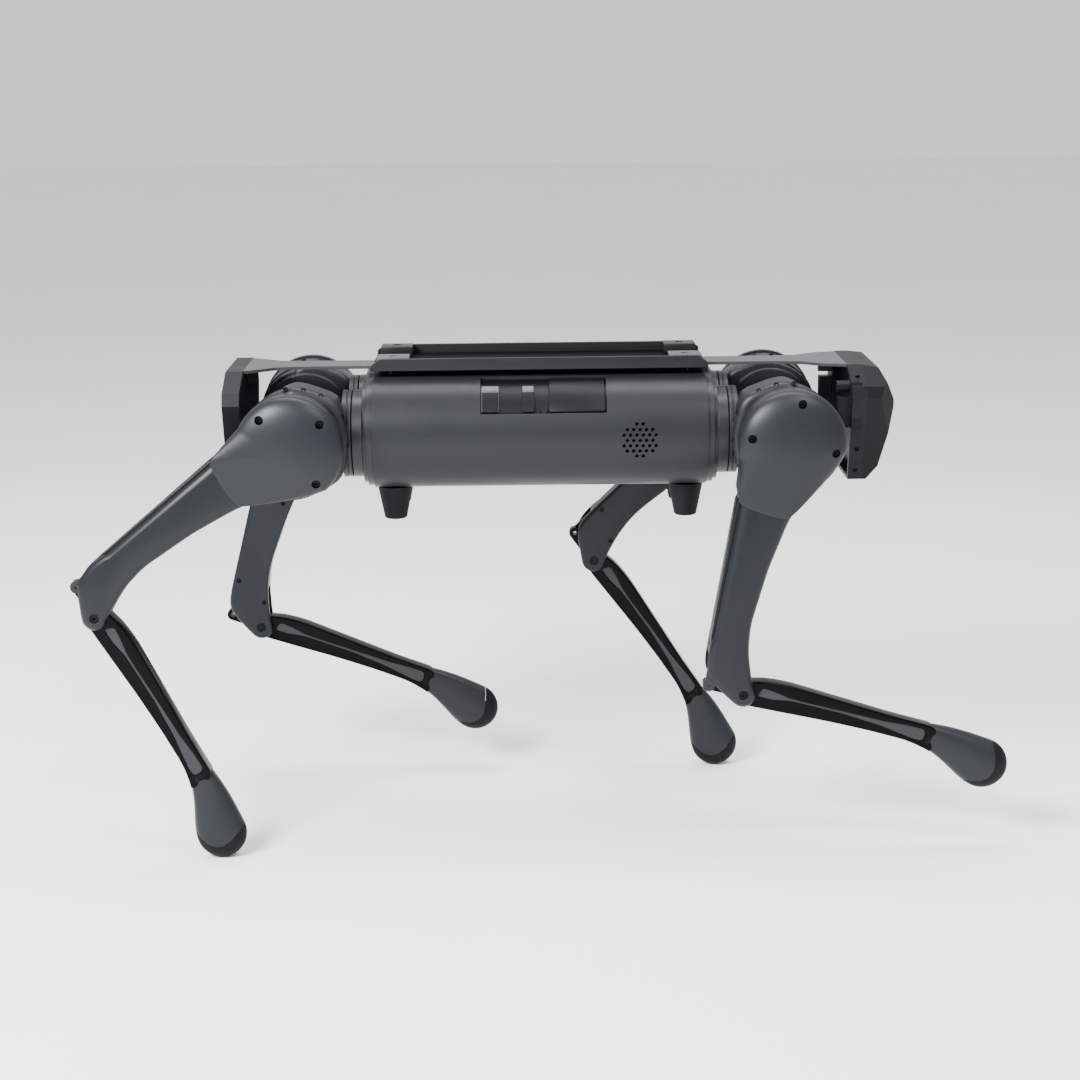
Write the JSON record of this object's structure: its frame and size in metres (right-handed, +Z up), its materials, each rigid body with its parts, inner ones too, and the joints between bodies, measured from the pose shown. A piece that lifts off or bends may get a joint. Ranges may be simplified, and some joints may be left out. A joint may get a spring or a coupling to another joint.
{
  "type": "quadruped robot dog",
  "caption": "Four-legged walking robot with a tubular trunk, domed knee drives, linkage-driven shins, round rubber feet and a drilled payload deck.",
  "frame": {"origin": "on the floor, under the middle of the trunk", "axes": "+X forward along the trunk, +Y to the robot's left, +Z up"},
  "size_m": [0.9122, 0.32, 0.4844],
  "materials": {
    "trunk_paint": "satin powder coat",
    "cap_metal": "satin anodised",
    "housing_metal": "satin anodised",
    "dark_drive": "black anodised",
    "cover_shell": "fine satin texture",
    "thigh_shell": "fine satin texture",
    "shin_black": "gloss black",
    "sock_shell": "fine satin texture",
    "rubber_black": "moulded rubber",
    "deck_metal": "satin anodised",
    "strap_metal": "satin anodised",
    "frame_shell": "fine satin texture",
    "nose_shell": "fine satin texture",
    "window_gloss": "gloss black",
    "port_plastic": "satin",
    "screw_steel": "black oxide",
    "rod_steel": "brushed",
    "battery_case": "satin"
  },
  "bodies": {
    "trunk": {"trunk_shell": "trunk_paint", "trunk_caps": "cap_metal", "roll_motors": "dark_drive", "port_panel": "port_plastic", "payload_deck": "deck_metal", "top_straps": "strap_metal", "end_frames": "frame_shell", "head_shell": "nose_shell", "sensor_window": "window_gloss", "belly_feet": "rubber_black", "battery_pack": "battery_case"},
    "power_button": {"power_button": "port_plastic"},
    "front_right_hip": {"front_right_hip_housing": "housing_metal", "front_right_hip_motor": "dark_drive"},
    "front_right_thigh": {"front_right_thigh_inner": "thigh_shell", "front_right_thigh_outer": "thigh_shell", "front_right_thigh_cover": "cover_shell", "front_right_thigh_screws": "screw_steel", "front_right_knee_motor": "dark_drive"},
    "front_right_crank": {"front_right_knee_crank": "rod_steel"},
    "front_right_rod": {"front_right_knee_rod": "rod_steel"},
    "front_right_calf": {"front_right_calf_tube": "shin_black", "front_right_foot_sock": "sock_shell", "front_right_foot_pad": "rubber_black"},
    "front_left_hip": {"front_left_hip_housing": "housing_metal", "front_left_hip_motor": "dark_drive"},
    "front_left_thigh": {"front_left_thigh_inner": "thigh_shell", "front_left_thigh_outer": "thigh_shell", "front_left_thigh_cover": "cover_shell", "front_left_thigh_screws": "screw_steel", "front_left_knee_motor": "dark_drive"},
    "front_left_crank": {"front_left_knee_crank": "rod_steel"},
    "front_left_rod": {"front_left_knee_rod": "rod_steel"},
    "front_left_calf": {"front_left_calf_tube": "shin_black", "front_left_foot_sock": "sock_shell", "front_left_foot_pad": "rubber_black"},
    "rear_right_hip": {"rear_right_hip_housing": "housing_metal", "rear_right_hip_motor": "dark_drive"},
    "rear_right_thigh": {"rear_right_thigh_inner": "thigh_shell", "rear_right_thigh_outer": "thigh_shell", "rear_right_thigh_cover": "cover_shell", "rear_right_thigh_screws": "screw_steel", "rear_right_knee_motor": "dark_drive"},
    "rear_right_crank": {"rear_right_knee_crank": "rod_steel"},
    "rear_right_rod": {"rear_right_knee_rod": "rod_steel"},
    "rear_right_calf": {"rear_right_calf_tube": "shin_black", "rear_right_foot_sock": "sock_shell", "rear_right_foot_pad": "rubber_black"},
    "rear_left_hip": {"rear_left_hip_housing": "housing_metal", "rear_left_hip_motor": "dark_drive"},
    "rear_left_thigh": {"rear_left_thigh_inner": "thigh_shell", "rear_left_thigh_outer": "thigh_shell", "rear_left_thigh_cover": "cover_shell", "rear_left_thigh_screws": "screw_steel", "rear_left_knee_motor": "dark_drive"},
    "rear_left_crank": {"rear_left_knee_crank": "rod_steel"},
    "rear_left_rod": {"rear_left_knee_rod": "rod_steel"},
    "rear_left_calf": {"rear_left_calf_tube": "shin_black", "rear_left_foot_sock": "sock_shell", "rear_left_foot_pad": "rubber_black"}
  },
  "joints": [
    {"name": "power_button_press", "type": "slide", "parent": "trunk", "child": "power_button", "axis": [0, 0.8746, -0.4848], "range_m": [0, 0.0012], "stiffness_N_per_m": 1200, "springref_m": -0.0005},
    {"name": "front_right_hip_roll", "type": "hinge", "parent": "trunk", "child": "front_right_hip", "pos_m": [0.184, -0.051, 0.4094], "axis": [1, 0, 0], "range_deg": [-45, 45]},
    {"name": "front_right_hip_pitch", "type": "hinge", "parent": "front_right_hip", "child": "front_right_thigh", "pos_m": [0.24, -0.134, 0.4094], "axis": [0, 1, 0], "range_deg": [-70.5, 139.5]},
    {"name": "front_right_knee", "type": "hinge", "parent": "front_right_thigh", "child": "front_right_calf", "pos_m": [0.19444, -0.134, 0.16359], "axis": [0, 1, 0], "range_deg": [-67.5, 44.5]},
    {"name": "front_right_crank_turn", "type": "hinge", "parent": "front_right_thigh", "child": "front_right_crank", "pos_m": [0.24, -0.134, 0.4094], "axis": [0, 1, 0], "range_deg": [-67.51, 44.51]},
    {"name": "front_right_rod_turn", "type": "hinge", "parent": "front_right_crank", "child": "front_right_rod", "pos_m": [0.20701, -0.134, 0.41763], "axis": [0, 1, 0], "range_deg": [-44.51, 67.51]},
    {"name": "front_left_hip_roll", "type": "hinge", "parent": "trunk", "child": "front_left_hip", "pos_m": [0.184, 0.051, 0.4094], "axis": [1, 0, 0], "range_deg": [-45, 45]},
    {"name": "front_left_hip_pitch", "type": "hinge", "parent": "front_left_hip", "child": "front_left_thigh", "pos_m": [0.24, 0.134, 0.4094], "axis": [0, 1, 0], "range_deg": [-106.5, 103.5]},
    {"name": "front_left_knee", "type": "hinge", "parent": "front_left_thigh", "child": "front_left_calf", "pos_m": [0.05866, 0.134, 0.23731], "axis": [0, 1, 0], "range_deg": [-71.5, 40.5]},
    {"name": "front_left_crank_turn", "type": "hinge", "parent": "front_left_thigh", "child": "front_left_crank", "pos_m": [0.24, 0.134, 0.4094], "axis": [0, 1, 0], "range_deg": [-71.51, 40.51]},
    {"name": "front_left_rod_turn", "type": "hinge", "parent": "front_left_crank", "child": "front_left_rod", "pos_m": [0.22001, 0.134, 0.43691], "axis": [0, 1, 0], "range_deg": [-40.51, 71.51]},
    {"name": "rear_right_hip_roll", "type": "hinge", "parent": "trunk", "child": "rear_right_hip", "pos_m": [-0.184, -0.051, 0.4094], "axis": [1, 0, 0], "range_deg": [-45, 45]},
    {"name": "rear_right_hip_pitch", "type": "hinge", "parent": "rear_right_hip", "child": "rear_right_thigh", "pos_m": [-0.24, -0.134, 0.4094], "axis": [0, 1, 0], "range_deg": [-110, 100]},
    {"name": "rear_right_knee", "type": "hinge", "parent": "rear_right_thigh", "child": "rear_right_calf", "pos_m": [-0.43151, -0.134, 0.2487], "axis": [0, 1, 0], "range_deg": [-73.5, 38.5]},
    {"name": "rear_right_crank_turn", "type": "hinge", "parent": "rear_right_thigh", "child": "rear_right_crank", "pos_m": [-0.24, -0.134, 0.4094], "axis": [0, 1, 0], "range_deg": [-73.51, 38.51]},
    {"name": "rear_right_rod_turn", "type": "hinge", "parent": "rear_right_crank", "child": "rear_right_rod", "pos_m": [-0.25726, -0.134, 0.4387], "axis": [0, 1, 0], "range_deg": [-38.51, 73.51]},
    {"name": "rear_left_hip_roll", "type": "hinge", "parent": "trunk", "child": "rear_left_hip", "pos_m": [-0.184, 0.051, 0.4094], "axis": [1, 0, 0], "range_deg": [-45, 45]},
    {"name": "rear_left_hip_pitch", "type": "hinge", "parent": "rear_left_hip", "child": "rear_left_thigh", "pos_m": [-0.24, 0.134, 0.4094], "axis": [0, 1, 0], "range_deg": [-18.5, 135.5]},
    {"name": "rear_left_knee", "type": "hinge", "parent": "rear_left_thigh", "child": "rear_left_calf", "pos_m": [-0.3026, 0.134, 0.16736], "axis": [0, 1, 0], "range_deg": [-68.5, 43.5]},
    {"name": "rear_left_crank_turn", "type": "hinge", "parent": "rear_left_thigh", "child": "rear_left_crank", "pos_m": [-0.24, 0.134, 0.4094], "axis": [0, 1, 0], "range_deg": [-68.51, 43.51]},
    {"name": "rear_left_rod_turn", "type": "hinge", "parent": "rear_left_crank", "child": "rear_left_rod", "pos_m": [-0.27215, 0.134, 0.42047], "axis": [0, 1, 0], "range_deg": [-43.51, 68.51]}
  ],
  "couplings": [
    {"joint": "front_right_crank_turn", "follows": "front_right_knee", "ratio": 1},
    {"joint": "front_right_rod_turn", "follows": "front_right_knee", "ratio": -1},
    {"joint": "front_left_crank_turn", "follows": "front_left_knee", "ratio": 1},
    {"joint": "front_left_rod_turn", "follows": "front_left_knee", "ratio": -1},
    {"joint": "rear_right_crank_turn", "follows": "rear_right_knee", "ratio": 1},
    {"joint": "rear_right_rod_turn", "follows": "rear_right_knee", "ratio": -1},
    {"joint": "rear_left_crank_turn", "follows": "rear_left_knee", "ratio": 1},
    {"joint": "rear_left_rod_turn", "follows": "rear_left_knee", "ratio": -1}
  ]
}
